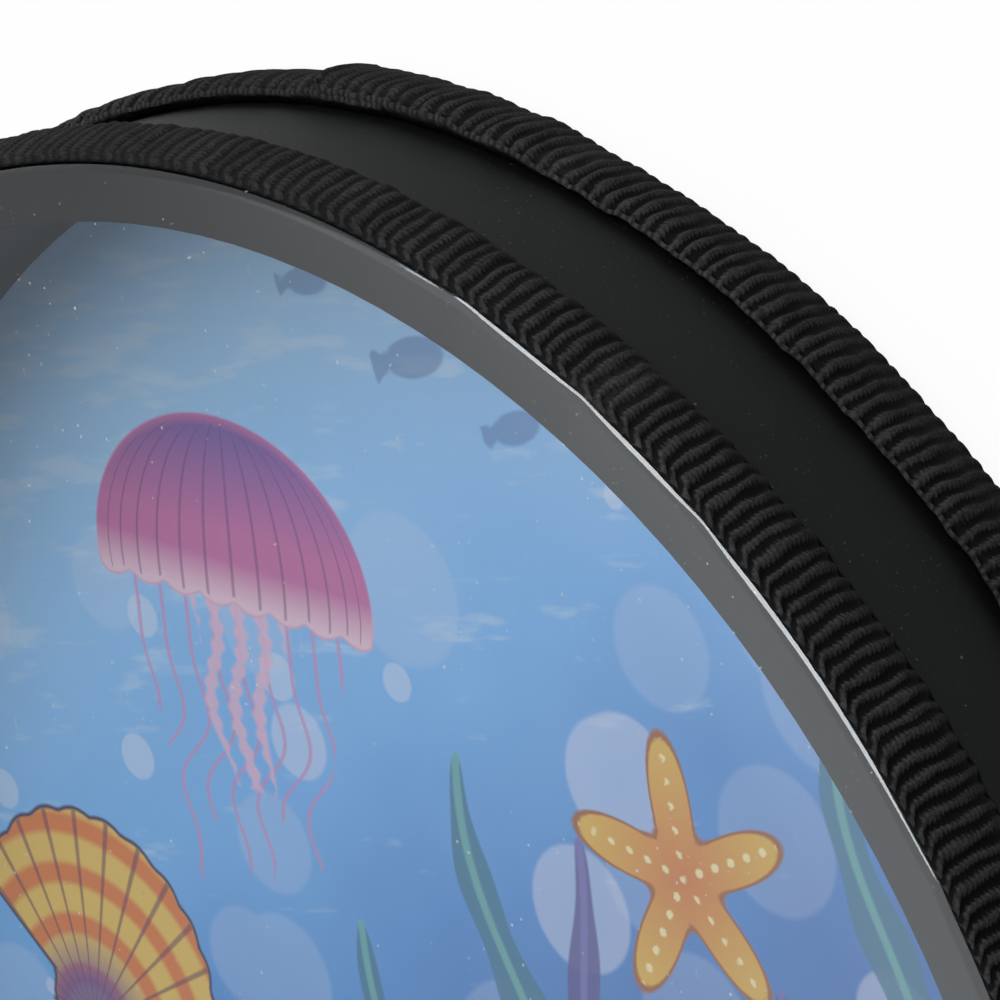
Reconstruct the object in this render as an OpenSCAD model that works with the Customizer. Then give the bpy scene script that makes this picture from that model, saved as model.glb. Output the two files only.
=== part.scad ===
// A hand-held ocean drum: a round hoop closed by two film heads, with a sheet of loose steel
// beads that rolls across the lower head like surf. The drum lies flat on its printed rear head.
// The origin is at the centre of that head's outer face, +Z points to the clear front head, and
// -Y is where the beads lie at rest.

/* [Hoop] */
// Outer diameter of the bent wooden hoop
hoop_d = 254; // [200:1:330]
// Height of the hoop, from edge to edge
hoop_h = 37.6; // [34:0.2:60]
// Thickness of the hoop's wall
hoop_wall = 6.8; // [5:0.1:9]
// Rounding of the hoop's outer edges, over which the film turns
outer_edge_r = 0.9; // [0.5:0.1:1.4]
// Rounding of the hoop's inner edges
inner_edge_r = 0.5; // [0.3:0.1:1.0]
// Width of the line that the hoop's scarf joint shows under the paint
scarf_line_w = 0.3; // [0.2:0.05:0.5]
// Depth of that line
scarf_line_depth = 0.25; // [0.15:0.05:0.4]
// Slant of that line away from upright, in degrees
scarf_slant = 24; // [10:1:35]

/* [Heads] */
// Thickness of the polyester film
film_t = 0.25; // [0.18:0.01:0.35]
// Length of the film's skirt, turned over the hoop's edge
skirt_h = 9.5; // [7:0.5:10]
// Glue line between the film and the hoop
glue_t = 0.05; // [0.03:0.01:0.1]

/* [Ribbons] */
// Width of the ribbed webbing round each edge
ribbon_w = 10.8; // [10:0.2:14]
// Thickness of the webbing at its crown
ribbon_crown = 2.7; // [2.1:0.1:3.2]
// Distance of the crown from the webbing's edge at the head's face
crown_back = 7.4; // [6:0.2:9]
// Thickness of the webbing's edge at the head's face, where it is drawn down tight
ribbon_face_edge = 1.1; // [0.8:0.1:1.5]
// Thickness of the webbing's edge on the hoop's side, past the end of the skirt
ribbon_hoop_edge = 1.5; // [1.0:0.1:2.0]
// How far the webbing stays back from the face of the head
ribbon_setback = 0.5; // [0.2:0.1:1.0]
// Length of the lap where the webbing's end lies on its start
lap_l = 11; // [8:0.5:16]
// Rise of the webbing at its lap
lap_rise = 0.8; // [0.4:0.1:1.2]
// How much narrower the webbing's end is pressed at each edge of the lap
lap_inset = 0.15; // [0.05:0.05:0.4]

/* [Beads] */
// Diameter of a steel bead
bead_d = 4; // [3:0.1:5]
// Running gap between neighbouring columns of beads, and to the wall
bead_gap = 0.3; // [0.2:0.05:0.5]
// Gap between beads that roll in one column
bead_spacing = 0.15; // [0.1:0.05:0.4]
// Gap between the beads and the rear head
bead_lift = 0.2; // [0.1:0.05:0.3]
// Depth of the heap of beads, from the wall to its straight front
heap_depth = 47; // [30:1:55]
// Number of beads that trail along the wall at each side of the heap
trail_count = 8; // [5:1:10]

/* [Hidden] */
$fn = 144;

// Overrun that carries a cut past the face it opens
cut = 1;

// Heights and radii of the stack, from the rear head's outer face outwards
drum_h = hoop_h + 2 * (film_t + glue_t);
hoop_r = hoop_d / 2;
inner_r = hoop_r - hoop_wall;
film_r = hoop_r + glue_t + film_t;
film_bend = outer_edge_r + glue_t + film_t;
ribbon_in_r = film_r + glue_t;

// The webbing's section rises gently from the face side to its crown and falls round to the hoop:
// either side of the crown its height follows a power of the distance from it
crown_steps = 14;
face_side_power = 1.8;
hoop_side_power = 3;

// Directions of the two laps and of the hoop's scarf joint, in degrees from +X
front_lap_angle = 228;
rear_lap_angle = 77;
scarf_angle = 200;

// The beads are sorted by the column they roll in, and the columns by band
bands = 9;
bead_reach = inner_r - bead_d / 2 - bead_gap;
bead_z = film_t + bead_lift + bead_d / 2;
column_pitch = bead_d + bead_gap;
bead_pitch = bead_d + bead_spacing;
heap_front = bead_reach - heap_depth;
side_columns = floor(sqrt(bead_reach * bead_reach - heap_front * heap_front) / column_pitch);
columns = 2 * side_columns + 1;
first_trail_angle = asin((side_columns + 1) * column_pitch / bead_reach);
trail_spread_power = 1.5;

function first_column(band) = round(band * columns / bands);
function column_x(k) = (k - side_columns) * column_pitch;
function column_reach(k) = sqrt(bead_reach * bead_reach - column_x(k) * column_x(k));
function column_count(k) = floor((column_reach(k) - heap_front) / bead_pitch) + 1;
function column_travel(k) = 2 * column_reach(k) - (column_count(k) - 1) * bead_pitch;
function band_travel(band) =
    min([for (k = [first_column(band) : first_column(band + 1) - 1]) column_travel(k)]);
function trail_angle(j) =
    first_trail_angle + (180 - 2 * first_trail_angle) * pow(j / trail_count, trail_spread_power);
function arc_degrees(length, radius) = length / radius * 180 / PI;
function crown_fall(edge, distance, reach, power) =
    (ribbon_crown - edge) * pow(distance / reach, power);
function ribbon_height(back) = ribbon_crown - (
    back < crown_back
        ? crown_fall(ribbon_face_edge, crown_back - back, crown_back, face_side_power)
        : crown_fall(ribbon_hoop_edge, back - crown_back, ribbon_w - crown_back, hoop_side_power)
);

echo(drum_h = drum_h, film_r = film_r, ribbon_out_r = ribbon_in_r + ribbon_crown);
echo(columns = columns, beads_in_columns = [for (k = [0 : columns - 1]) column_count(k)]);
echo(band_travel = [for (band = [0 : bands - 1]) band_travel(band)]);

// Section of the hoop's wall, standing at its inner radius
module hoop_section() {
    translate([inner_r + inner_edge_r, 0])
        square([hoop_wall - inner_edge_r - outer_edge_r, hoop_h]);
    translate([inner_r, inner_edge_r])
        square([hoop_wall / 2, hoop_h - 2 * inner_edge_r]);
    translate([hoop_r - hoop_wall / 2, outer_edge_r])
        square([hoop_wall / 2, hoop_h - 2 * outer_edge_r]);
    for (z = [inner_edge_r, hoop_h - inner_edge_r])
        translate([inner_r + inner_edge_r, z])
            circle(r = inner_edge_r);
    for (z = [outer_edge_r, hoop_h - outer_edge_r])
        translate([hoop_r - outer_edge_r, z])
            circle(r = outer_edge_r);
}

// The hoop's thin slanting joint line, cut into its outer side
module scarf_line() {
    rotate([0, 0, scarf_angle])
        translate([hoop_r - scarf_line_depth, 0, drum_h / 2])
            rotate([scarf_slant, 0, 0])
                translate([0, -scarf_line_w / 2, -hoop_h])
                    cube([scarf_line_depth + cut, scarf_line_w, 2 * hoop_h]);
}

module hoop() {
    color("#1b1b1d")
        difference() {
            translate([0, 0, film_t + glue_t])
                rotate_extrude()
                    hoop_section();
            scarf_line();
        }
}

// Half section of a flat round lid of radius r and height h whose top edge is rounded by bend
module lid_section(r, h, bend) {
    square([r - bend, h]);
    square([r, h - bend]);
    translate([r - bend, h - bend])
        circle(r = bend);
}

// One head: a flat disc of film with its skirt turned down over the hoop's edge, standing on z = 0
module film_head() {
    rotate_extrude()
        difference() {
            lid_section(film_r, skirt_h, film_bend);
            translate([0, -cut])
                lid_section(film_r - film_t, skirt_h - film_t + cut, film_bend - film_t);
        }
}

module front_head() {
    color("#dfe9ee", 0.25)
        translate([0, 0, drum_h - skirt_h])
            film_head();
}

module rear_head() {
    color("#6fa9cf")
        translate([0, 0, skirt_h])
            mirror([0, 0, 1])
                film_head();
}

// Section of the webbing between two distances from its face-side edge, standing on the radius
// inner, with its outer side lifted by rise
module ribbon_section(inner, from, to, rise) {
    polygon(concat(
        [[inner, from]],
        [for (i = [0 : crown_steps])
            let (back = from + i / crown_steps * (to - from))
                [ribbon_in_r + ribbon_height(back) + rise, back]],
        [[inner, to]]
    ));
}

// A ribbon glued round the skirt, its face side down on z = 0. From the given direction on, its end
// lies on its start, pressed a little narrower and sunk into it by half the thickness of its edge.
module lapped_ribbon(lap_angle) {
    rotate_extrude()
        ribbon_section(ribbon_in_r, 0, ribbon_w, 0);
    rotate([0, 0, lap_angle])
        rotate_extrude(angle = arc_degrees(lap_l, ribbon_in_r))
            ribbon_section(
                ribbon_in_r + ribbon_face_edge / 2, lap_inset, ribbon_w - lap_inset, lap_rise);
}

module front_ribbon() {
    color("#19191a")
        translate([0, 0, drum_h - ribbon_setback])
            mirror([0, 0, 1])
                lapped_ribbon(front_lap_angle);
}

module rear_ribbon() {
    color("#19191a")
        translate([0, 0, ribbon_setback])
            lapped_ribbon(rear_lap_angle);
}

module bead() {
    sphere(d = bead_d, $fn = 32);
}

// All columns of one band: each column starts at the wall and ends at the heap's front
module bead_band(band) {
    color("#a9adb2")
        for (k = [first_column(band) : first_column(band + 1) - 1])
            for (j = [0 : column_count(k) - 1])
                translate([column_x(k), j * bead_pitch - column_reach(k), bead_z])
                    bead();
}

// Single beads that trail along the wall, ever wider apart, clear of every column
module trailing_beads() {
    color("#a9adb2")
        for (side = [-1, 1])
            for (j = [0 : trail_count - 1])
                rotate([0, 0, side * trail_angle(j)])
                    translate([0, -bead_reach, bead_z])
                        bead();
}

hoop();
front_head();
rear_head();
front_ribbon();
rear_ribbon();
trailing_beads();
bead_band(0);  // bead_band_1
bead_band(1);  // bead_band_2
bead_band(2);  // bead_band_3
bead_band(3);  // bead_band_4
bead_band(4);  // bead_band_5
bead_band(5);  // bead_band_6
bead_band(6);  // bead_band_7
bead_band(7);  // bead_band_8
bead_band(8);  // bead_band_9
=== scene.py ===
import bmesh
import bpy
import numpy as np
from mathutils import Matrix, Vector


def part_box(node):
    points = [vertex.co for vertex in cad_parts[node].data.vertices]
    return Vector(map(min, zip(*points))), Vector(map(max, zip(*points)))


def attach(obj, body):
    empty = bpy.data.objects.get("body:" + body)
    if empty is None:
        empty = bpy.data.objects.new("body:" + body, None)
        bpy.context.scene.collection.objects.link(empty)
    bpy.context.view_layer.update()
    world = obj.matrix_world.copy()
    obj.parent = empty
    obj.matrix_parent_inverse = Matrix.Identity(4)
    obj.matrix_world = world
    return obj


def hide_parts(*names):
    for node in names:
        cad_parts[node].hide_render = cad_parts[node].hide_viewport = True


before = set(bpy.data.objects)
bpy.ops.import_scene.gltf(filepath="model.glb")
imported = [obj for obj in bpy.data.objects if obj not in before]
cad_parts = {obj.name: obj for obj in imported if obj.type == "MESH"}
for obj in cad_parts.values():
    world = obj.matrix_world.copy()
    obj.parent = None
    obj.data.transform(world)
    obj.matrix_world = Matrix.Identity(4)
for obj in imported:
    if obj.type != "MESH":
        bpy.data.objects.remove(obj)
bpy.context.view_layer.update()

# The hoop is a ring of thin maple plies, bent round a form, closed by a scarf joint and sprayed
# with thin matt black lacquer. It is the rigid body that the two heads are glued to.
MM = 0.001
DRUM = "drum"


def srgb(hex_colour):
    """A colour such as #1b1b1d as linear red, green and blue, with an alpha of 1."""
    parts = [int(hex_colour[i : i + 2], 16) / 255 for i in (1, 3, 5)]
    return (*[p / 12.92 if p <= 0.04045 else ((p + 0.055) / 1.055) ** 2.4 for p in parts], 1)


def add(material, kind, sockets={}, **settings):
    """Adds a shader node. A socket takes a value, a colour, or a node or socket to link from."""
    node = material.node_tree.nodes.new("ShaderNode" + kind)
    for name, value in settings.items():
        setattr(node, name, value)
    for name, value in sockets.items():
        if isinstance(value, bpy.types.Node):
            value = value.outputs[0]
        if isinstance(value, bpy.types.NodeSocket):
            material.node_tree.links.new(value, node.inputs[name])
        else:
            node.inputs[name].default_value = value
    return node


def new_material(name):
    """An empty node material. Its last shader goes into a node of kind OutputMaterial."""
    material = bpy.data.materials.new(name)
    material.use_nodes = True
    material.node_tree.nodes.clear()
    return material


def scattered(material, place, cell, share, size, patch, strength):
    """Strength on small round specks, else 0. One cell in so many, given by share, has a speck of
    up to size cells in radius, and the specks thin out to none between patches of a noise."""
    cells = add(material, "TexVoronoi", {"Vector": place, "Scale": 1 / cell})
    chance = add(material, "SeparateColor", {"Color": cells.outputs["Color"]})
    reach = add(
        material,
        "MapRange",
        {"Value": chance, "From Min": 1 - share, "From Max": 1, "To Min": 0, "To Max": size},
    )
    speck = add(
        material, "Math", {0: cells.outputs["Distance"], 1: reach}, operation="LESS_THAN"
    )
    patches = add(material, "TexNoise", {"Vector": place, "Scale": 1 / patch, "Detail": 3})
    level = add(
        material,
        "MapRange",
        {"Value": patches, "From Min": 0.42, "From Max": 0.62, "To Max": strength},
    )
    return add(material, "Math", {0: speck, 1: level}, operation="MULTIPLY")


lacquer_black = srgb("#101213")
lacquer_worn = srgb("#17191a")
cloud_size = 16 * MM
# The colour of the painted shade along the rear webbing's edge
shade_black = srgb("#040404")
rear_ribbon_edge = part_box("rear_ribbon")[1].z
shade_reach = 1.5 * MM
shade_patch = 6 * MM
spray_grain = 0.6 * MM
side_from = 125 * MM
dust_grey = srgb("#8a8b8d")
# Matt lacquer mirrors next to nothing. It looks cloudy where it was sprayed thin, and dust shows
lacquer = new_material("matt_black_lacquer")
place = add(lacquer, "TexCoord").outputs["Object"]
cloud = add(lacquer, "TexNoise", {"Vector": place, "Scale": 1 / cloud_size, "Detail": 4})
coat = add(lacquer, "MixRGB", {"Fac": cloud, "Color1": lacquer_black, "Color2": lacquer_worn})
# Painted shade: a near-black band on the hoop's outer side, along the rear webbing's edge, with a
# wavy border, stands in for the webbing's shadow
along_side = add(lacquer, "VectorMath", {0: place, 1: (1, 1, 0)}, operation="MULTIPLY")
off_axis = add(lacquer, "VectorMath", {0: along_side}, operation="LENGTH").outputs["Value"]
outer_side = add(lacquer, "Math", {0: off_axis, 1: side_from}, operation="GREATER_THAN")
shade_wobble = add(lacquer, "TexNoise", {"Vector": place, "Scale": 1 / shade_patch, "Detail": 2})
up_side = add(lacquer, "SeparateXYZ", {0: place}).outputs["Z"]
from_edge = add(
    lacquer, "Math", {0: shade_wobble, 1: -shade_reach, 2: up_side}, operation="MULTIPLY_ADD"
)
painted_shade = add(
    lacquer,
    "MapRange",
    {
        "Value": from_edge,
        "From Min": rear_ribbon_edge - 0.5 * shade_reach,
        "From Max": rear_ribbon_edge + 0.6 * shade_reach,
        "To Min": 0.85,
        "To Max": 0,
    },
)
painted_shade = add(lacquer, "Math", {0: painted_shade, 1: outer_side}, operation="MULTIPLY")
coat = add(lacquer, "MixRGB", {"Fac": painted_shade, "Color1": coat, "Color2": shade_black})
fine_dust = scattered(
    lacquer, place, cell=0.65 * MM, share=0.55, size=0.22, patch=22 * MM, strength=0.42
)
dusted = add(lacquer, "MixRGB", {"Fac": fine_dust, "Color1": coat, "Color2": dust_grey})
coarse_dust = scattered(
    lacquer, place, cell=2.7 * MM, share=0.35, size=0.08, patch=30 * MM, strength=0.9
)
dusted = add(lacquer, "MixRGB", {"Fac": coarse_dust, "Color1": dusted, "Color2": dust_grey})
# The spray's own grain is finer than this, and is drawn as coarse as it needs to show
grain = add(lacquer, "TexNoise", {"Vector": place, "Scale": 1 / spray_grain, "Detail": 2})
grain_bump = add(lacquer, "Bump", {"Height": grain, "Strength": 0.06, "Distance": 0.05 * MM})
sprayed = add(
    lacquer,
    "BsdfPrincipled",
    {"Base Color": dusted, "Roughness": 0.6, "Specular IOR Level": 0.1, "Normal": grain_bump},
)
add(lacquer, "OutputMaterial", {"Surface": sprayed})
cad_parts["hoop"].data.materials.clear()
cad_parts["hoop"].data.materials.append(lacquer)

# The front head is a disc of clear polyester film whose skirt is shrunk over the hoop's edge
# and glued to its side. The fold is not quite even: it has soft waves and a few sharp kinks.
film_t = 0.25 * MM
film_bend = 1.2 * MM
fold_wave = 0.04 * MM
kink_height = 0.7 * MM
kink_reach = 2.6 * MM
kink_rounding = 0.5
head_low, head_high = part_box("front_head")
film_r = head_high.x
skirt_h = head_high.z - head_low.z
face_z = head_high.z


def surface(name, points, material, wrap_rows=False, wrap_columns=True):
    """A mesh of quads over a grid of points, given as rows by columns by xyz."""
    rows, columns = points.shape[:2]
    row, column = np.meshgrid(
        np.arange(rows if wrap_rows else rows - 1),
        np.arange(columns if wrap_columns else columns - 1),
        indexing="ij",
    )
    next_row, next_column = (row + 1) % rows, (column + 1) % columns
    quads = np.stack(
        [
            row * columns + column,
            row * columns + next_column,
            next_row * columns + next_column,
            next_row * columns + column,
        ],
        axis=-1,
    ).reshape(-1, 4)
    mesh = bpy.data.meshes.new(name)
    mesh.vertices.add(rows * columns)
    mesh.vertices.foreach_set("co", points.astype(np.float32).ravel())
    mesh.loops.add(quads.size)
    mesh.loops.foreach_set("vertex_index", quads.astype(np.int32).ravel())
    mesh.polygons.add(len(quads))
    mesh.polygons.foreach_set("loop_start", np.arange(0, quads.size, 4, dtype=np.int32))
    mesh.update(calc_edges=True)
    mesh.shade_smooth()
    mesh.materials.append(material)
    piece = bpy.data.objects.new(name, mesh)
    bpy.context.scene.collection.objects.link(piece)
    return piece


def tidy_mesh(piece, fill_ends=False):
    """Merges the points that meet at poles and seams, and closes the open ends of a strip."""
    shape = bmesh.new()
    shape.from_mesh(piece.data)
    bmesh.ops.remove_doubles(shape, verts=shape.verts, dist=0.0005 * MM)
    if fill_ends:
        bmesh.ops.holes_fill(shape, edges=[e for e in shape.edges if e.is_boundary])
    shape.to_mesh(piece.data)
    shape.free()


def film_profile(outer_steps, inner_steps, bend_steps):
    """Radius and depth below the face along a film head's section: out along the outer side of
    the disc, round the fold by a quarter circle, down the skirt, and back along the inner side."""
    turn = np.linspace(0, np.pi / 2, bend_steps)
    halves = []
    for inset, steps in ((0, outer_steps), (film_t, inner_steps)):
        flat = np.linspace(0, film_r - film_bend, steps)[:-1]
        bend_r = film_bend - inset
        radius = np.concatenate([flat, film_r - film_bend + bend_r * np.sin(turn)])
        depth = np.concatenate([flat * 0 + inset, film_bend - bend_r * np.cos(turn)])
        halves.append(np.stack([np.append(radius, film_r - inset), np.append(depth, skirt_h)]))
    return np.concatenate([halves[0], halves[1][:, ::-1]], axis=1)


def smooth_noise(angles, waves, seed):
    """A sum of sines round the hoop, with random phases, of the given whole numbers of waves."""
    phases = np.random.default_rng(seed).uniform(0, 2 * np.pi, len(waves))
    return sum(np.sin(n * angles + p) for n, p in zip(waves, phases)) / np.sqrt(len(waves))


def degrees_away(angles, centre):
    """How far each angle, in radians, is from a direction in degrees, the short way, in degrees."""
    return (np.degrees(angles) - centre + 180) % 360 - 180


def folded_head(name, material, up, columns, steps, kinks, seed):
    """A film head as its section turned round the Z axis. The fold's outer corner goes in and out
    by low waves, and has a short peak at each kink, which falls off as an exponential on both
    sides. Both fade to nothing on disc and skirt, by the fourth power of a sine of the depth."""
    radius, depth = film_profile(*steps)
    angles = np.linspace(0, 2 * np.pi, columns, endpoint=False)
    bump = fold_wave * smooth_noise(angles, (7, 13, 22, 41), seed)
    for kink in kinks:
        away = np.radians(degrees_away(angles, kink)) * film_r / kink_reach
        bump = bump + kink_height * np.exp(-np.hypot(away, kink_rounding))
    on_fold = np.sin(np.pi * np.clip(depth / (2 * film_bend) + 0.35, 0, 1)) ** 4
    on_fold = on_fold * (radius > film_r - 2.5 * film_bend)
    out = radius[:, None] + bump[None, :] * on_fold[:, None]
    height = np.repeat((face_z - depth if up else depth)[:, None], columns, axis=1)
    points = np.stack([out * np.cos(angles), out * np.sin(angles), height], axis=-1)
    piece = surface(name, points[::-1] if up else points, material)
    tidy_mesh(piece)
    return piece


front_kinks = (20, 41, 50, 58.5, 112, 133, 163, 207, 251, 296, 338)
film_ior = 1.57
scratch_turn = 0.6
scratch_stretch = 0.09
# Clear polyester lets the colours below through and mirrors the room on both of its sides. Worn
# places are dull: specks of dust, and short scratches that all lie much the same way
film = new_material("clear_polyester_film")
place = add(film, "TexCoord").outputs["Object"]
specks = scattered(
    film, place, cell=1.5 * MM, share=0.4, size=0.14, patch=15 * MM, strength=0.75
)
drawn_out = add(
    film,
    "Mapping",
    {"Vector": place, "Rotation": (0, 0, scratch_turn), "Scale": (1, scratch_stretch, 1)},
)
scratches = scattered(
    film, drawn_out, cell=0.9 * MM, share=0.1, size=0.09, patch=9 * MM, strength=0.35
)
scuffed = add(film, "Math", {0: specks, 1: scratches}, operation="MAXIMUM")
ripple = add(film, "TexNoise", {"Vector": place, "Scale": 1 / (30 * MM), "Detail": 1})
ripple_bump = add(film, "Bump", {"Height": ripple, "Strength": 0.1, "Distance": 0.5 * MM})
# Light that goes in through the film's front is mirrored by both of its sides
one_side = add(film, "Fresnel", {"IOR": film_ior})
front_side = add(
    film, "Math", {0: 1, 1: add(film, "NewGeometry").outputs["Backfacing"]}, operation="SUBTRACT"
)
both_sides = add(film, "Math", {0: one_side, 1: 2}, operation="MULTIPLY", use_clamp=True)
mirrored = add(film, "Math", {0: both_sides, 1: front_side}, operation="MULTIPLY")
through = add(film, "BsdfTransparent", {"Color": srgb("#fbfcfc")})
back = add(
    film, "BsdfGlossy", {"Color": srgb("#f5faff"), "Roughness": 0.07, "Normal": ripple_bump}
)
clear = add(film, "MixShader", {0: mirrored, 1: through, 2: back})
dull = add(film, "BsdfDiffuse", {"Color": srgb("#c9cbcd")})
used = add(film, "MixShader", {0: scuffed, 1: clear, 2: dull})
add(film, "OutputMaterial", {"Surface": used})
front_head = folded_head(
    "clear_front_head", film, up=True, columns=900, steps=(8, 8, 12), kinks=front_kinks, seed=3
)
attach(front_head, DRUM)
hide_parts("front_head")

# The rear head is the same film, printed all over on its inner side with a picture of the sea.
# It is the floor that the beads roll on, and the drum rests on it. Each shape of the picture is
# worked out as its distance in millimetres from every point of the disc, below nothing inside.
print_edge = 126.3
deepest = -118 * MM
shallowest = 122 * MM
bubble_foot = -112
bubble_reach = 120
bell_half_w = 25
bell_height = 21
strand_pitch = 4.6
arm_pitch = 4.4
twig_cell = 3.4


def turned(x, y, centre, degrees):
    """Coordinates about a centre, along axes turned anticlockwise by an angle."""
    cosine, sine = np.cos(np.radians(degrees)), np.sin(np.radians(degrees))
    x, y = x - centre[0], y - centre[1]
    return x * cosine + y * sine, y * cosine - x * sine


def nearest(shapes):
    """For each point, the row of the shape whose first value, its distance, is the least."""
    shapes = np.array(shapes)
    least = np.argmin(shapes[:, 0], axis=0)
    return np.take_along_axis(shapes, least[None, None, :], axis=0)[0]


def bubbles(x, y, count, radii, top, seed):
    """Distance to the nearest of a number of circles, spread at random over the disc from its
    foot up to a height."""
    draw = np.random.default_rng(seed)
    rise = draw.uniform(bubble_foot, top, count)
    aside = draw.uniform(-1, 1, count) * np.sqrt(bubble_reach**2 - rise**2)
    circles = zip(aside, rise, draw.uniform(*radii, count))
    return np.min([np.hypot(x - cx, y - cy) - r for cx, cy, r in circles], axis=0)


def jellyfish(x, y, centre, degrees, size):
    """The bell is an ellipse cut off by a scalloped rim; its ribs follow the ellipse's meridians.
    Below it, coordinates that sway with the depth draw the strands and the frilled arms."""
    u, v = [part / size for part in turned(x, y, centre, degrees)]
    dome = (np.hypot(u / bell_half_w, v / bell_height) - 1) * bell_height
    rim = -3.2 - 1.2 * np.abs(np.sin(np.pi * u / 6.4))
    width = bell_half_w * np.sqrt(np.clip(1 - (v / bell_height) ** 2, 0.04, 1))
    meridian = np.degrees(np.arcsin(np.clip(u / width, -1, 1))) / 11
    sway = 1.8 * np.sin(v / 6 + 1) + 0.9 * np.sin(v / 2.6)
    depth = -v - 3
    strand = (u + sway * np.clip(depth / 14, 0, 1.6)) / strand_pitch
    length = 34 + 7 * np.sin(0.55 * u + 1)
    trail = np.maximum(np.abs(u) - 20.5 + 0.25 * depth, np.maximum(depth - length, -depth))
    arm = (u + 1.5 * np.sin(v / 3.7) * np.clip(depth / 8, 0, 1)) / arm_pitch
    frill = np.abs(arm) * arm_pitch - 9 + 0.22 * depth
    arms = np.maximum(frill, np.maximum(depth - 25, -depth))
    bell = np.maximum(dome, rim - v)
    return bell * size, meridian, v, strand, trail * size, arm, arms * size


def starfish(x, y, centre, degrees, size):
    """Five arms: the outline's radius is a power of a cosine of five times the angle. The distance
    is taken along the radius, and shortened because the outline runs aslant to it."""
    u, v = turned(x, y, centre, degrees)
    angle = np.arctan2(v, u)
    outline = size * (0.36 + 0.64 * (0.5 + 0.5 * np.cos(5 * angle)) ** 1.5)
    fold = (angle + np.pi / 5) % (2 * np.pi / 5) - np.pi / 5
    reach = np.hypot(u, v)
    return (reach - outline) * 0.62, reach * np.cos(fold) / size, (reach * np.sin(fold)) ** 2


def scallop(x, y, centre, degrees, size):
    """A fan about its hinge with a scalloped front edge; its ribs and bands follow the angle and
    the distance from the hinge."""
    u, v = turned(x, y, centre, degrees)
    reach, angle = np.hypot(u, v), np.degrees(np.arctan2(u, v))
    front = size * (1 - 0.2 * (angle / 66) ** 2 + 0.022 * np.abs(np.cos(np.radians(angle * 15))))
    fan = np.maximum(reach - front, (np.abs(angle) - 62) * reach / 60)
    ears = np.maximum(np.abs(u) - 0.27 * size, np.abs(v - 0.09 * size) - 0.1 * size)
    return np.minimum(fan, ears), angle / 12, reach / size


def kelp(x, y, blades):
    """Distance to the nearest of some long blades: each sways by a sine about a leaning line, and
    is widest at its middle. The second value is the place across the blade, from -1 to 1."""
    found = []
    for foot, ground, length, lean, sway, phase, half_width in blades:
        rise = (y - ground) / length
        middle = foot + lean * (y - ground) + sway * np.sin((y - ground) / 11 + phase)
        ruffle = 1 + 0.16 * np.sin((y - ground) / 2.9 + phase)
        half = half_width * np.sqrt(np.sin(np.pi * np.clip(rise, 0, 1))) * ruffle
        off = x - middle
        outside = np.maximum(-rise, rise - 1) * length
        found.append([np.maximum(np.abs(off) - half, outside), off / half_width, rise])
    return nearest(found)


def little_fish(x, y, centre, degrees, length):
    """A lens-shaped body and a triangular tail."""
    u, v = [part / length for part in turned(x, y, centre, degrees)]
    body = (np.hypot(u / 0.36, v / 0.17) - 1) * 0.17
    tail = np.maximum(np.abs(v) + 0.62 * (u + 0.26), -u - 0.52)
    return np.minimum(body, tail) * length


def coral_fan(x, y, centre, degrees, size):
    """A sea fan: a rounded fan whose edge is uneven."""
    u, v = turned(x, y, centre, degrees)
    angle = np.arctan2(u, v)
    edge = size * (0.94 - 0.25 * angle**2 + 0.06 * np.sin(9 * angle) + 0.03 * np.sin(23 * angle))
    return np.maximum(np.hypot(u, v) - edge, (np.abs(angle) - 1.05) * 12)


def picture(x, y):
    """All distances and places on the picture's shapes, at each point of the film. The sea bed's
    edge is two sines and a parabola across the picture. A row gives a shape's centre, its turn in
    degrees and its size."""
    jellies = ((-31, 66), -13, 1.0), ((-92, -32), 14, 0.62), ((86, 52), 8, 0.6)
    stars = ((38, 29), 14, 18.5), ((-52, -66), 40, 15), ((60, -78), 62, 13), ((4, -100), 5, 11)
    shells = ((-80, 6), -24, 30), ((82, -48), 30, 24), ((-24, -92), 8, 20)
    teal = (
        (2, -84, 128, 0.02, 3.5, 0.4, 4.6),
        (-12, -90, 112, -0.08, 3.0, 2.0, 4.0),
        (60, -70, 124, 0.10, 4.0, 1.0, 4.4),
        (78, -60, 84, 0.12, 3.2, 3.0, 3.8),
        (-66, -90, 84, -0.10, 3.0, 2.6, 3.8),
    )
    violet = (
        (12, -88, 122, 0.05, 3.2, 2.9, 3.8),
        (50, -84, 100, -0.02, 3.4, 4.2, 3.8),
        (-44, -96, 92, 0.05, 3.2, 1.2, 3.6),
        (96, -40, 78, 0.02, 2.6, 0.3, 3.2),
    )
    school = (
        ((12, 93), 6, 15), ((27, 84), 10, 12), ((-4, 103), 2, 11), ((33, 97), 4, 10),
        ((-70, -14), 172, 14), ((-84, -4), 176, 11), ((20, -22), 186, 13),
    )
    fans = ((-30, -34), 10, 34), ((36, -96), -14, 34), ((-88, -74), 24, 30), ((100, 2), -50, 26)
    bell, meridian, rise, strand, trail, arm, arms = nearest(
        [jellyfish(x, y, *row) for row in jellies]
    )
    ground = y + 82 - 7 * np.sin(x / 16) - 3.5 * np.sin(x / 6.5 + 1) - 0.0022 * x**2
    coral = np.min([coral_fan(x, y, *row) for row in fans], axis=0)
    fish = np.min([little_fish(x, y, *row) for row in school], axis=0)
    return {
        "bubbles": (
            bubbles(x, y, 44, (6, 11), 70, 4),
            bubbles(x, y, 30, (4, 9.5), 48, 21),
            bubbles(x, y, 40, (1, 3.2), 78, 8),
        ),
        "bell": (bell, meridian, rise),
        "strands": (strand, trail, arm),
        "star": nearest([starfish(x, y, *row) for row in stars]),
        "shell": nearest([scallop(x, y, *row) for row in shells]),
        "teal_kelp": kelp(x, y, teal),
        "violet_kelp": kelp(x, y, violet),
        "reef": (ground, coral, fish),
        "rest": (arms, np.hypot(x, y) - print_edge, 0 * x),
    }


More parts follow.
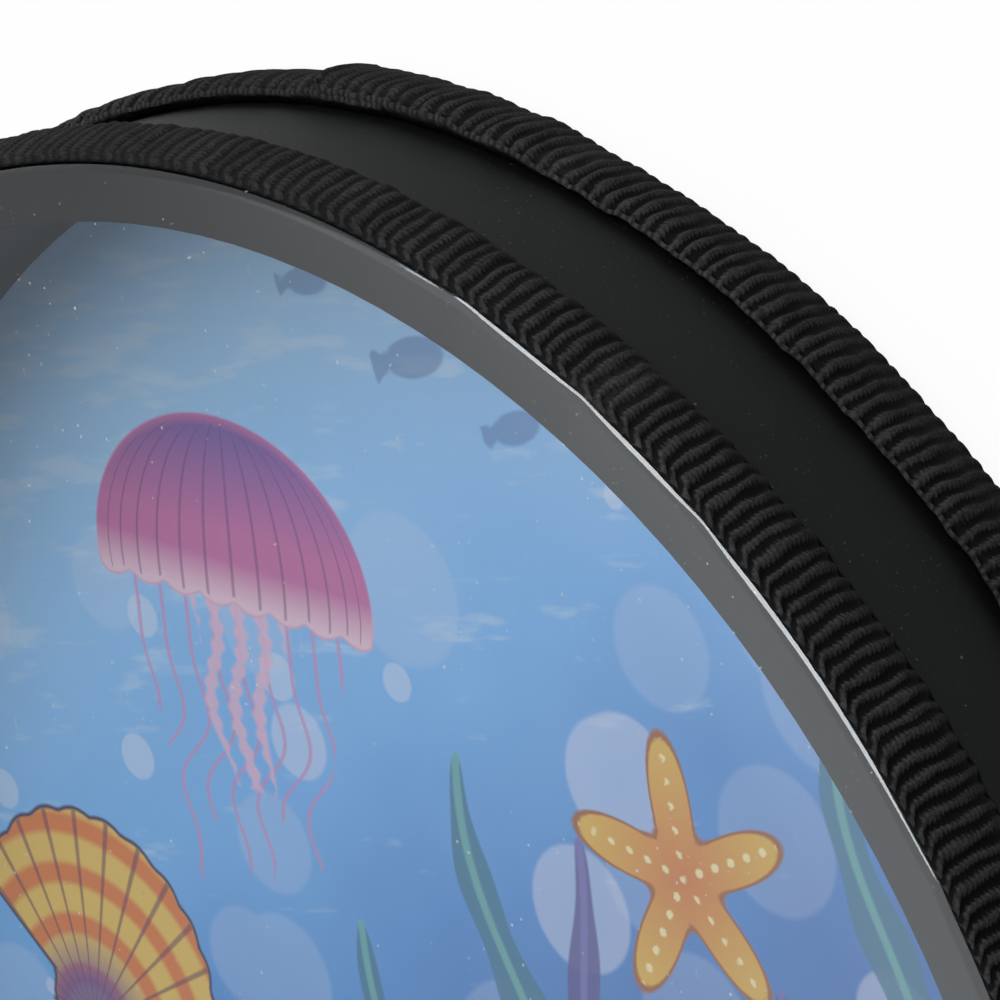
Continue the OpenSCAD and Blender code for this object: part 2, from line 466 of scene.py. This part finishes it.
# Screen-printed film ink: satin, crisp at the shapes' edges. It is painted in coats, from the
# water upwards. Each coat covers where a distance is low, with a soft or a sharp border.
printed = new_material("printed_polyester_film")
place = add(printed, "TexCoord").outputs["Object"]
parts = {
    "bubbles": ("far_bubble", "near_bubble", "small_bubble"),
    "bell": ("bell", "meridian", "bell_rise"),
    "strands": ("strand", "trail", "arm"),
    "star": ("star", "star_along", "star_across"),
    "shell": ("shell", "shell_rib", "shell_band"),
    "teal_kelp": ("teal", "teal_across", "teal_rise"),
    "violet_kelp": ("violet", "violet_across", "violet_rise"),
    "reef": ("ground", "coral", "fish"),
    "rest": ("arms", "border", "spare"),
}
value = {}
for name, axes in parts.items():
    read = add(printed, "Attribute", attribute_name=name).outputs["Vector"]
    split = add(printed, "SeparateXYZ", {0: read})
    value.update({axis: split.outputs[k] for k, axis in enumerate(axes)})
split = add(printed, "SeparateXYZ", {0: place})
value["x"], value["y"] = split.outputs["X"], split.outputs["Y"]
branches = add(
    printed,
    "TexVoronoi",
    {"Vector": place, "Scale": 1 / (twig_cell * MM)},
    feature="DISTANCE_TO_EDGE",
)
value["branch"] = branches.outputs["Distance"]
drift = add(printed, "TexNoise", {"Vector": place, "Scale": 1 / (38 * MM), "Detail": 3})
value["drift"] = drift.outputs[0]
lying = add(
    printed, "Mapping", {"Vector": place, "Rotation": (0, 0, -0.45), "Scale": (0.22, 1, 1)}
)
glints = add(
    printed, "TexNoise", {"Vector": lying, "Scale": 1 / (4.2 * MM), "Detail": 5, "Roughness": 0.6}
)
value["glint"] = glints.outputs[0]
# Each row makes a new value: its name, what is done, and what it is done to
recipe = (
    ("cooler", "MULTIPLY", "x", -0.3),
    ("height", "MULTIPLY_ADD", "drift", 0.036, "y"),
    ("height", "ADD", "height", "cooler"),
    ("glint_high", "MULTIPLY_ADD", "height", 1.5, "glint"),
    ("glint_low", "MULTIPLY", "glint_high", -1),
    ("inner_bubble", "ADD", "near_bubble", 1.2),
    ("midline", "ABSOLUTE", "teal_across"),
    ("teal_vein", "MAXIMUM", "teal", "midline"),
    ("violet_midline", "ABSOLUTE", "violet_across"),
    ("violet_vein", "MAXIMUM", "violet", "violet_midline"),
    ("branch_in", "SUBTRACT", "branch", 0.09),
    ("branch_mm", "MULTIPLY", "branch_in", twig_cell),
    ("twig", "MAXIMUM", "coral", "branch_mm"),
    ("strand_off", "PINGPONG", "strand", 0.5),
    ("strand_mm", "MULTIPLY_ADD", "strand_off", strand_pitch, -0.33),
    ("strand_line", "MAXIMUM", "strand_mm", "trail"),
    ("arm_off", "PINGPONG", "arm", 0.5),
    ("arm_wave", "MULTIPLY", "bell_rise", 2.4),
    ("arm_wave", "SINE", "arm_wave"),
    ("arm_half", "MULTIPLY_ADD", "arm_wave", 0.3, 1.05),
    ("arm_mm", "MULTIPLY", "arm_off", arm_pitch),
    ("arm_mm", "SUBTRACT", "arm_mm", "arm_half"),
    ("arm_line", "MAXIMUM", "arm_mm", "arms"),
    ("bell_sharp", "MULTIPLY", "bell", 8),
    ("crown", "MULTIPLY_ADD", "bell_rise", -1, 6),
    ("crown", "MAXIMUM", "crown", "bell_sharp"),
    ("skirt", "MAXIMUM", "bell_rise", "bell_sharp"),
    ("meridian_off", "PINGPONG", "meridian", 0.5),
    ("meridian_mm", "MULTIPLY_ADD", "meridian_off", 4.4, -0.24),
    ("inside_bell", "ADD", "bell", 0.9),
    ("meridian_line", "MAXIMUM", "meridian_mm", "inside_bell"),
    ("star_in", "ADD", "star", 0.7),
    ("star_sharp", "MULTIPLY", "star_in", 8),
    ("star_middle", "MAXIMUM", "star_along", "star_sharp"),
    ("dot_off", "PINGPONG", "star_along", 0.08),
    ("dot_along", "MULTIPLY", "dot_off", 17),
    ("dot_square", "MULTIPLY_ADD", "dot_along", "dot_along", "star_across"),
    ("dot_away", "SQRT", "dot_square"),
    ("dot", "SUBTRACT", "dot_away", 0.62),
    ("star_dot", "MAXIMUM", "dot", "star_in"),
    ("shell_in", "ADD", "shell", 0.6),
    ("band_off", "PINGPONG", "shell_band", 0.115),
    ("band", "SUBTRACT", "band_off", 0.052),
    ("shell_stripe", "MAXIMUM", "band", "shell_in"),
    ("rib_off", "PINGPONG", "shell_rib", 0.5),
    ("rib", "SUBTRACT", "rib_off", 0.07),
    ("shell_groove", "MAXIMUM", "rib", "shell_in"),
    ("hinge", "SUBTRACT", "shell_band", 0.3),
    ("shell_hinge", "MAXIMUM", "hinge", "shell_in"),
    ("ground_in", "ADD", "ground", 5),
)
for name, operation, *inputs in recipe:
    sockets = {k: value[i] if isinstance(i, str) else i for k, i in enumerate(inputs)}
    value[name] = add(printed, "Math", sockets, operation=operation).outputs[0]
water = add(
    printed, "MapRange", {"Value": value["height"], "From Min": deepest, "From Max": shallowest}
)
depths = add(printed, "ValToRGB", {"Fac": water})
stops = depths.color_ramp.elements
stops[0].color, stops[1].color = srgb("#12408c"), srgb("#9fcdf6")
for at, colour in ((0.3, "#1f5cab"), (0.55, "#3474c0"), (0.66, "#4a90d8"), (0.78, "#74b4f2")):
    stops.new(at).color = srgb(colour)
# Each row is a coat: its value, where it covers most, where it ends, its cover and its colour
coats = (
    ("glint_low", -0.8, -0.7, 0.4, "#cfe2f6"),
    ("far_bubble", -0.4, 0.4, 0.2, "#d3ddf6"),
    ("fish", -0.2, 0.2, 0.55, "#2d5c9e"),
    ("near_bubble", -0.3, 0.3, 0.42, "#e1e3f9"),
    ("inner_bubble", -7, 0, 0.18, "#7fb0e6"),
    ("small_bubble", -0.2, 0.2, 0.45, "#dbe4f8"),
    ("coral", -3, 0, 0.35, "#8c4f94"),
    ("twig", -0.15, 0.15, 0.9, "#c4619c"),
    ("violet", -0.2, 0.2, 0.9, "#4a4690"),
    ("violet_vein", 0.1, 0.22, 0.6, "#8079c2"),
    ("teal", -0.2, 0.2, 0.9, "#2b7494"),
    ("teal_vein", 0.1, 0.2, 0.7, "#6fb7b4"),
    ("ground", -0.3, 0.3, 1, "#2c3f80"),
    ("ground_in", -8, 2, 0.85, "#c9a36a"),
    ("strand_line", -0.15, 0.15, 0.75, "#c58cc2"),
    ("arm_line", -0.4, 0.3, 0.85, "#e2b9d6"),
    ("bell", -0.2, 0.2, 0.96, "#c2619f"),
    ("crown", -13, 0, 0.95, "#6a4fa2"),
    ("skirt", -3.2, 2.2, 0.8, "#ecd3e2"),
    ("meridian_line", -0.12, 0.12, 0.55, "#5a2f6e"),
    ("star", -0.2, 0.2, 1, "#9c5a2c"),
    ("star_in", -0.2, 0.2, 1, "#dfb247"),
    ("star_middle", 0.0, 0.85, 0.8, "#d0632f"),
    ("star_dot", -0.12, 0.12, 0.95, "#f5e8b4"),
    ("shell", -0.2, 0.2, 1, "#3a2c58"),
    ("shell_in", -0.2, 0.2, 1, "#e3bf62"),
    ("shell_stripe", -0.02, 0.012, 0.9, "#d9713c"),
    ("shell_hinge", -0.1, 0.14, 0.85, "#5a4696"),
    ("shell_groove", -0.03, 0.03, 0.7, "#6d3a52"),
)
ink = depths.outputs["Color"]
for name, low, high, cover, colour in coats:
    covered = add(
        printed,
        "MapRange",
        {"Value": value[name], "From Min": low, "From Max": high, "To Min": cover, "To Max": 0},
    )
    ink = add(printed, "MixRGB", {"Fac": covered, "Color1": ink, "Color2": srgb(colour)})
past_print = add(printed, "Math", {0: value["border"], 1: 0}, operation="GREATER_THAN")
ink = add(printed, "MixRGB", {"Fac": past_print, "Color1": ink, "Color2": srgb("#101012")})
satin = add(
    printed, "BsdfPrincipled", {"Base Color": ink, "Roughness": 0.5, "Specular IOR Level": 0.3}
)
add(printed, "OutputMaterial", {"Surface": satin})
rear_head = folded_head(
    "printed_rear_head", printed, up=False, columns=480, steps=(40, 110, 8), kinks=(77,), seed=5
)
corner_places = np.empty(len(rear_head.data.vertices) * 3, np.float32)
rear_head.data.vertices.foreach_get("co", corner_places)
film_x, film_y = corner_places.astype(float).reshape(-1, 3).T[:2] / MM
for name, values in picture(film_x, film_y).items():
    stored = rear_head.data.attributes.new(name, "FLOAT_VECTOR", "POINT")
    stored.data.foreach_set("vector", np.stack(values, axis=-1).astype(np.float32).ravel())
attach(rear_head, DRUM)
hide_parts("rear_head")

# The two ribbons are black ribbed webbing, glued over the skirts. Each is one strip whose end
# lies on its start. Thick weft threads give the ribs, which thin warp yarns cover. At the face
# the ribs are pulled over into hooks, and on the hoop's side they end in a twisted selvedge.
ribbon_low, ribbon_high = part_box("rear_ribbon")
ribbon_w = ribbon_high.z - ribbon_low.z
ribbon_setback = ribbon_low.z
ribbon_crown = 2.7 * MM
crown_back = 7.4 * MM
face_edge = 1.1 * MM
web_t = 1.1 * MM
glue_t = 0.05 * MM
ribs_round = 394
rib_columns = 8
rib_depth = 0.55 * MM
rib_unevenness = 0.07
rib_sway = 0.08
sway_length = 0.9 * MM
hook_zone = 1.1 * MM
hook_pull = 1.6 * MM
pressed_to = 7.2 * MM
press_fade = 4 * MM
selvedge_w = 1.2 * MM
chain_w = 0.45 * MM
loop_height = 0.06 * MM
pit_in = 0.75 * MM
pit_half = 0.2 * MM
pit_depth = 0.3 * MM
face_rounding = 0.5 * MM
edge_rounding = 0.3 * MM
lump_height = 0.13 * MM
width_wave = 0.16 * MM
# Where the painted shade toward the hoop's side begins, across the strip
side_shade_from = 6.2 * MM
lap_l = 11 * MM
lap_rise = 0.8 * MM
lap_ramp = 5 * MM
under_lift = 0.35
frayed_l = 2 * MM
fray = 0.8 * MM
yarn_pitch = 0.64 * MM


def bumps(angles, rows):
    """A sum of rounded bumps. Each row is a bump's direction and half width, both in degrees, and
    its size in millimetres."""
    shapes = [size * np.exp(-((degrees_away(angles, at) / reach) ** 2)) for at, reach, size in rows]
    return MM * sum(shapes)


def crown_height(across, edge, fall):
    """Height of the webbing over its width: it rises to the crown by a power of 1.8 of the
    distance from it, and falls behind it to the height of its edge by another power."""
    before = np.clip((crown_back - across) / crown_back, 0, 1) ** 1.8
    behind = np.clip((across - crown_back) / (ribbon_w - crown_back), 0, 1) ** fall
    return ribbon_crown - (ribbon_crown - face_edge) * before - (ribbon_crown - edge) * behind


def rounded(distance, reach):
    """A quarter circle's rise, from 0 at no distance to 1 at the reach and beyond."""
    return (1 - np.clip(1 - distance / reach, 0, 1) ** 2) ** 0.5


def in_hooks(outer):
    """How much the ribs are pulled over: all at the face's edge, and nothing past the hooks."""
    return np.clip(1 - outer / hook_zone, 0, 1)


def in_chain(outer):
    """1 in the chain of loops along the hoop's side, and 0 next to it."""
    return np.clip((outer - ribbon_w + chain_w) / (0.5 * chain_w), 0, 1)


def in_pits(outer, phase):
    """Pits along the chain, deepest between the ribs: a bell curve across the strip."""
    off = (outer - ribbon_w + pit_in) / pit_half
    return np.exp(-(off**2)) * (1 - 0.6 * np.sin(np.pi * phase) ** 2)


def rib_phase(outer, angles, count, skew, flat, seed):
    """The ribs as a phase that grows by one from rib to rib. It leans by the skew, sways by a slow
    sine across the strip, and leans near the face by the square of the nearness to it."""
    lean = hook_pull * in_hooks(outer) ** 2 * (1 - 0.8 * flat) - skew * outer
    turns = 3 * smooth_noise(angles, (37, 89, 143), seed + 5)
    sway = rib_sway * np.sin(outer / sway_length + turns)
    uneven = rib_unevenness * smooth_noise(angles, (61, 97, 151, 197), seed)
    return count + lean * ribs_round / (2 * np.pi * film_r) + uneven + sway


def outer_height(outer, angles, phase, edge, flat, seed):
    """Height of the strip's outer side above the film: the crown, less the gaps between the ribs,
    which are the square of a cosine of the phase and shallow where the strip is flat, less the
    pits, and with the chain's two loops to a rib, both edges' roundings and long low lumps."""
    uneven = smooth_noise(angles, (61, 97, 151, 197), seed)
    gap = rib_depth * (1 - 0.3 * in_hooks(outer)) * (1 - 0.8 * in_chain(outer)) * (1 - 0.7 * flat)
    gap = gap * (1 + 0.25 * uneven) * np.cos(np.pi * phase) ** 2
    loops = loop_height * np.cos(4 * np.pi * phase) * in_chain(outer)
    turned_in = 0.5 * (1 - rounded(outer, face_rounding))
    turned_down = 0.3 * (1 - rounded(ribbon_w - outer, edge_rounding))
    lumps = lump_height * smooth_noise(angles, (43, 71, 109, 163, 229), seed + 2)
    height = crown_height(outer, *edge) - gap - pit_depth * in_pits(outer, phase) + loops
    height = height - (turned_in + turned_down) * web_t
    return height + lumps * np.clip(outer / crown_back, 0.4, 1)


def webbing(
    name, material, start, up, edge, underside, skew, wider, raised, dusty, matted, pressed,
    hoop_side_shade, seed,
):
    """A strip wound once round the hoop and on over its own start, as a closed section at each
    step: across the outer side, and back along the underside, whose five heights are given in
    millimetres. Where the strip is matted, or is pressed near the face, its ribs are flatter and
    straighter. Its width and height vary by bumps and waves, and the cut end is ragged."""
    full = 2 * np.pi * film_r
    count = np.arange(int(ribs_round * (1 + lap_l / full) * rib_columns) + 1)[None, :]
    count = count / rib_columns
    angles = np.radians(start) + count * 2 * np.pi / ribs_round
    along = count * full / ribs_round
    outer = np.concatenate(
        [
            np.linspace(0, hook_zone, 7),
            np.linspace(hook_zone, ribbon_w - selvedge_w, 11)[1:],
            ribbon_w - np.array([0.95, 0.75, 0.6, 0.45, 0.3, 0.15, 0]) * MM,
        ]
    )[:, None]
    under = np.array([ribbon_w - 0.5 * MM, ribbon_w - selvedge_w, crown_back, 3 * MM, 0])[:, None]
    under_height = np.array(underside)[:, None] * MM + 0 * angles
    across = np.concatenate([outer, under])

    near_face = np.clip((pressed_to - outer) / press_fade, 0, 1)
    flat = np.clip(bumps(angles, matted) / MM + pressed * near_face, 0, 1)
    phase = rib_phase(outer, angles, count, skew, flat, seed)
    height = outer_height(outer, angles, phase, edge, flat, seed)
    over = np.clip((along - full + lap_ramp) / lap_ramp, 0, 1)
    lift = lap_rise * over**2 * (3 - 2 * over) + bumps(angles, raised)
    share_of_lift = np.concatenate([0 * outer + 1, 0 * under + under_lift])
    radius = film_r + glue_t + np.concatenate([height, under_height]) + share_of_lift * lift

    ragged = np.random.default_rng(seed + 4).uniform(-1, 0.2, across.shape) * fray
    ragged = ragged * np.clip(across / crown_back, 0, 1) ** 2
    near_end = np.clip((along - along.max() + frayed_l) / frayed_l, 0, 1)
    turned_angles = angles + ragged * near_end / film_r
    spread = bumps(angles, wider) + width_wave * smooth_noise(angles, (31, 57, 83, 140), seed + 3)
    across = across * (1 + spread / ribbon_w)
    z = face_z - ribbon_setback - across if up else ribbon_setback + across
    points = [radius * np.cos(turned_angles), radius * np.sin(turned_angles), z]
    points = np.stack(points, axis=-1)
    points = points if up else points[::-1]
    piece = surface(name, points, material, wrap_rows=True, wrap_columns=False)

    nothing = 0 * under_height
    ribs = np.concatenate([phase, nothing + count])
    # Painted shade: the tone is darker in the pits along the chain, a little darker in the hooks at
    # the face, and darker toward the hoop's side by the given share
    side_darkening = hoop_side_shade * np.clip((outer - side_shade_from) / (ribbon_w - side_shade_from), 0, 1)
    tone = (1 - 0.7 * in_pits(outer, phase) - 0.25 * in_hooks(outer)) * (1 - side_darkening)
    tone = np.concatenate([tone, nothing])
    chain = np.concatenate([in_chain(outer) + 0 * phase, nothing])
    dust = bumps(angles, dusty) / MM + 0 * across
    mats = np.concatenate([flat, nothing])
    stores = ("weave", (ribs, across / yarn_pitch, tone)), ("edging", (dust, chain, mats))
    for label, values in stores:
        values = np.stack(values, axis=-1)
        values = values if up else values[::-1]
        stored = piece.data.attributes.new(label, "FLOAT_VECTOR", "POINT")
        stored.data.foreach_set("vector", values.astype(np.float32).ravel())
    tidy_mesh(piece, fill_ends=True)
    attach(piece, DRUM)
    return piece


# Woven polyester, dyed black, has no shine. The crests of the ribs are painted pale, a painted
# highlight, and their edges are toothed by the yarns; the gaps and the places between the yarns are
# painted dark, a painted shade in the hollows. Single fibres are too fine to show, so they are
# drawn as clumps of 0.28 mm
fibre_clump = 0.28 * MM
yarn_wobble = 1.1 * MM
worn_patch = 7 * MM
gap_painted_shade = srgb("#101010")
crest_painted_highlight = srgb("#444445")
dust_on_cloth = srgb("#6a6a6c")
lint_grey = srgb("#b4b4b6")
weave = new_material("black_polyester_webbing")
place = add(weave, "TexCoord").outputs["Object"]
read = add(weave, "Attribute", attribute_name="weave").outputs["Vector"]
along, across, tone = add(weave, "SeparateXYZ", {0: read}).outputs
read = add(weave, "Attribute", attribute_name="edging").outputs["Vector"]
dust, chain, mats = add(weave, "SeparateXYZ", {0: read}).outputs
fibre = add(weave, "TexNoise", {"Vector": place, "Scale": 1 / fibre_clump, "Detail": 3})
wobble = add(weave, "TexNoise", {"Vector": place, "Scale": 1 / yarn_wobble, "Detail": 2})
worn = add(weave, "TexNoise", {"Vector": place, "Scale": 1 / worn_patch, "Detail": 4})
# The yarns of each next rib stand half a pitch aside, and all of them wander a little
rib_number = add(weave, "Math", {0: along}, operation="FLOOR")
rib_place = add(weave, "Math", {0: along, 1: 0.5}, operation="PINGPONG")
yarn_at = add(weave, "Math", {0: rib_number, 1: 0.5, 2: across}, operation="MULTIPLY_ADD")
yarn_at = add(weave, "Math", {0: rib_place, 1: 0.4, 2: yarn_at}, operation="MULTIPLY_ADD")
yarn_at = add(weave, "Math", {0: wobble, 1: 1.2, 2: yarn_at}, operation="MULTIPLY_ADD")
yarn_off = add(weave, "Math", {0: yarn_at, 1: 0.5}, operation="PINGPONG")
yarn = add(weave, "MapRange", {"Value": yarn_off, "From Max": 0.5, "To Min": 0.66, "To Max": 1})
# A crest is wide where a yarn stands out and narrow between yarns, which gives it teeth
toothed = add(weave, "Math", {0: yarn_off, 1: 0.22, 2: rib_place}, operation="MULTIPLY_ADD")
toothed = add(weave, "Math", {0: fibre, 1: 0.14, 2: toothed}, operation="MULTIPLY_ADD")
crest = add(weave, "MapRange", {"Value": toothed, "From Min": 0.3, "From Max": 0.48})
gap_tone = add(weave, "Math", {0: mats, 1: 0.3}, operation="MULTIPLY")
crest_tone = add(weave, "Math", {0: mats, 1: -0.52, 2: 1}, operation="MULTIPLY_ADD")
body = add(weave, "MapRange", {"Value": crest, "To Min": gap_tone, "To Max": crest_tone})
body = add(weave, "Math", {0: body, 1: yarn}, operation="MULTIPLY")
# The chain has two loops to a rib, painted lighter and darker like the crests. Matted stretches
# have less painted shade in the gaps and less painted highlight on the crests
thread = add(weave, "Math", {0: along, 1: 4 * np.pi}, operation="MULTIPLY")
thread = add(weave, "Math", {0: thread}, operation="COSINE")
thread = add(weave, "Math", {0: thread, 1: 0.35, 2: 0.6}, operation="MULTIPLY_ADD")
thread = add(weave, "Math", {0: thread, 1: crest_tone}, operation="MULTIPLY")
shine = add(weave, "MapRange", {"Value": chain, "To Min": body, "To Max": thread})
fibrous = add(
    weave,
    "MapRange",
    {"Value": fibre, "From Min": 0.33, "From Max": 0.67, "To Min": 0.6, "To Max": 1.4},
)
wear = add(
    weave,
    "MapRange",
    {"Value": worn, "From Min": 0.3, "From Max": 0.7, "To Min": 0.75, "To Max": 1.15},
)
mottled = add(
    weave,
    "MapRange",
    {"Value": wobble, "From Min": 0.35, "From Max": 0.65, "To Min": 0.8, "To Max": 1.2},
)
for factor in (tone, fibrous, wear, mottled):
    shine = add(weave, "Math", {0: shine, 1: factor}, operation="MULTIPLY")
shade = add(weave, "MixRGB", {"Fac": shine, "Color1": gap_painted_shade, "Color2": crest_painted_highlight})
dust_grain = add(weave, "TexNoise", {"Vector": place, "Scale": 1 / (0.5 * MM), "Detail": 2})
dusty_here = add(weave, "MapRange", {"Value": dust_grain, "From Min": 0.25, "From Max": 0.75})
dust_share = add(weave, "Math", {0: dust, 1: dusty_here}, operation="MULTIPLY")
shade = add(weave, "MixRGB", {"Fac": dust_share, "Color1": shade, "Color2": dust_on_cloth})
lint = scattered(
    weave, place, cell=4.2 * MM, share=0.25, size=0.05, patch=30 * MM, strength=0.8
)
shade = add(weave, "MixRGB", {"Fac": lint, "Color1": shade, "Color2": lint_grey})
relief = add(weave, "Math", {0: yarn_off, 1: 0.8, 2: crest}, operation="MULTIPLY_ADD")
relief = add(weave, "Math", {0: fibre, 1: 0.5, 2: relief}, operation="MULTIPLY_ADD")
weave_bump = add(weave, "Bump", {"Height": relief, "Strength": 0.6, "Distance": 0.14 * MM})
cloth = add(
    weave,
    "BsdfPrincipled",
    {"Base Color": shade, "Roughness": 0.85, "Specular IOR Level": 0.04, "Normal": weave_bump},
)
add(weave, "OutputMaterial", {"Surface": cloth})
front_ribbon = webbing(
    "front_webbing",
    weave,
    start=228,
    up=True,
    edge=(0.25 * MM, 1.5),
    underside=(-0.02, -0.28, 1.2, 0.6, 0.0),
    skew=0.06,
    wider=((22, 14, 1.4), (150, 20, 0.3), (310, 16, 0.3)),
    raised=((250, 5, 0.3), (130, 4, 0.3)),
    dusty=((49.3, 1.5, 0.2), (171, 2, 0.2), (283, 2, 0.2)),
    matted=((88, 30, 0.8), (205, 14, 0.5), (310, 12, 0.4)),
    pressed=0,
    # painted shade on the front webbing's ribs toward the hoop's side
    hoop_side_shade=0.7,
    seed=11,
)
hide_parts("front_ribbon")
rear_ribbon = webbing(
    "rear_webbing",
    weave,
    start=77,
    up=False,
    edge=(1.5 * MM, 3),
    underside=(0.7, -0.28, 1.2, 0.6, 0.0),
    skew=0.0,
    wider=((57, 4, -0.5), (34, 3, -0.5), (160, 12, 0.3), (270, 14, -0.3)),
    raised=(
        (41.5, 2.2, -0.3), (56.8, 2.2, -0.35), (61.5, 3, -0.3), (64.8, 1.2, -0.2),
        (68.6, 1.6, 0.55), (72.5, 2, 0.5), (74.4, 1.3, 0.55), (81, 2.5, 0.12), (82.6, 0.9, 0.3),
        (84.3, 0.9, -0.15), (95, 4, -0.25), (200, 5, 0.3),
    ),
    dusty=((65, 1.4, 0.12), (140, 2, 0.2), (236, 2, 0.2)),
    matted=((84, 13, 0.75), (185, 16, 0.5), (290, 12, 0.4)),
    pressed=0.65,
    hoop_side_shade=0,
    seed=17,
)
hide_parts("rear_ribbon")

# The beads are hardened steel balls, tumbled and polished, with faint scuffs from rolling on
# each other. They lie loose on the rear head.
steel = new_material("polished_bearing_steel")
place = add(steel, "TexCoord").outputs["Object"]
scuff = add(steel, "TexNoise", {"Vector": place, "Scale": 1 / (1.2 * MM), "Detail": 4})
scuff_rough = add(steel, "MapRange", {"Value": scuff, "To Min": 0.08, "To Max": 0.3})
polished = add(
    steel,
    "BsdfPrincipled",
    {"Base Color": srgb("#c3c5c8"), "Metallic": 1, "Roughness": scuff_rough},
)
add(steel, "OutputMaterial", {"Surface": polished})
for name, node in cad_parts.items():
    if "bead" in name:
        node.data.materials.clear()
        node.data.materials.append(steel)

# The studio is a pale floor under the drum, a wide soft lamp overhead, a long strip lamp that
# draws the bright line along the film's fold, and a white surround that falls off to one side.
floor_size = 3.0
floor_z = -0.2 * MM
backdrop_glow = 0.94
floor_paint = new_material("pale_floor_paint")
rays = add(floor_paint, "LightPath").outputs
seen = add(
    floor_paint, "Math", {0: rays["Is Camera Ray"], 1: rays["Is Glossy Ray"]}, operation="ADD"
)
seen = add(floor_paint, "Math", {0: seen, 1: rays["Is Transmission Ray"]}, operation="ADD")
glow_share = add(floor_paint, "Math", {0: seen, 1: backdrop_glow}, operation="MULTIPLY")
tone = add(
    floor_paint, "MixRGB", {"Fac": seen, "Color1": srgb("#a2a2a2"), "Color2": srgb("#ffffff")}
)
matt = add(floor_paint, "BsdfDiffuse", {"Color": tone})
glow = add(floor_paint, "Emission", {"Color": srgb("#ffffff"), "Strength": 1})
lit = add(floor_paint, "MixShader", {0: glow_share, 1: matt, 2: glow})
add(floor_paint, "OutputMaterial", {"Surface": lit})
corners = np.array([[-1, -1], [1, -1], [-1, 1], [1, 1]]) * floor_size / 2
floor = surface(
    "floor",
    np.concatenate([corners, np.full((4, 1), floor_z)], axis=1).reshape(2, 2, 3),
    floor_paint,
    wrap_columns=False,
)

ambient = 0.25
bright_side = (0.667, -0.223, 0.711)
darkest = 0.36
world = bpy.data.worlds.new("white_studio")
world.use_nodes = True
world.node_tree.nodes.clear()
rays = add(world, "LightPath").outputs
plain = add(
    world, "Math", {0: rays["Is Camera Ray"], 1: rays["Is Transmission Ray"]}, operation="MAXIMUM"
)
toward = add(world, "TexCoord").outputs["Generated"]
aside = add(
    world, "VectorMath", {0: toward, 1: bright_side}, operation="DOT_PRODUCT"
).outputs["Value"]
fall_off = add(
    world,
    "MapRange",
    {"Value": aside, "From Min": -0.055, "From Max": 0.07, "To Min": darkest, "To Max": 1},
)
for_gloss = add(world, "Math", {0: rays["Is Glossy Ray"], 1: fall_off}, operation="MULTIPLY")
level = add(world, "Math", {0: plain, 1: for_gloss}, operation="MAXIMUM")
level = add(world, "Math", {0: level, 1: ambient}, operation="MAXIMUM")
sky = add(world, "Background", {"Color": srgb("#ffffff"), "Strength": level})
add(world, "OutputWorld", {"Surface": sky})
bpy.context.scene.world = world

# The overhead lamp lights surfaces alone, and the strip lamp only shows in glossy ones. A row
# gives azimuth and elevation in degrees, distance and size in metres, and power in watts
lamps = (
    ("overhead_softbox", 104, 60, 1.3, (1.0, 1.0), 14.0),
    ("strip_lamp", 66, 38, 1.2, (1.5, 0.8), 19.0),
)
for name, azimuth, elevation, distance, (width, height), watts in lamps:
    lamp_data = bpy.data.lights.new(name, "AREA")
    lamp_data.shape = "RECTANGLE"
    lamp_data.size, lamp_data.size_y = width, height
    lamp_data.energy = watts
    around, above = np.radians((azimuth, elevation))
    level_out = np.cos(above) * distance
    lamp_place = Vector(
        (level_out * np.cos(around), level_out * np.sin(around), np.sin(above) * distance)
    )
    lamp = bpy.data.objects.new(name, lamp_data)
    lamp.location = lamp_place
    lamp.rotation_euler = lamp_place.to_track_quat("Z", "Y").to_euler()
    lamp.visible_glossy = name == "strip_lamp"
    lamp.visible_diffuse = name != "strip_lamp"
    bpy.context.scene.collection.objects.link(lamp)

# The camera's place, aim and focal length were fitted to the edge circles in the photograph
photo_width = 1000
focal_pixels = 7470.7
sensor_width = 36
camera_place = Vector((673.49, 236.63, 561.49)) * MM
view_ahead = Vector((-0.74499, -0.18423, -0.64114))
view_up = Vector((0.01164, 0.95737, -0.28862))
camera_data = bpy.data.cameras.new("camera")
camera_data.sensor_width = sensor_width
camera_data.lens = sensor_width * focal_pixels / photo_width
camera_data.clip_start = 0.01
camera = bpy.data.objects.new("camera", camera_data)
view_right = view_ahead.cross(view_up).normalized()
view_up = view_right.cross(view_ahead).normalized()
axes = Matrix((view_right, view_up, -view_ahead.normalized())).transposed()
camera.matrix_world = Matrix.Translation(camera_place) @ axes.to_4x4()
bpy.context.scene.collection.objects.link(camera)
bpy.context.scene.camera = camera
bpy.context.scene.view_settings.view_transform = "Standard"
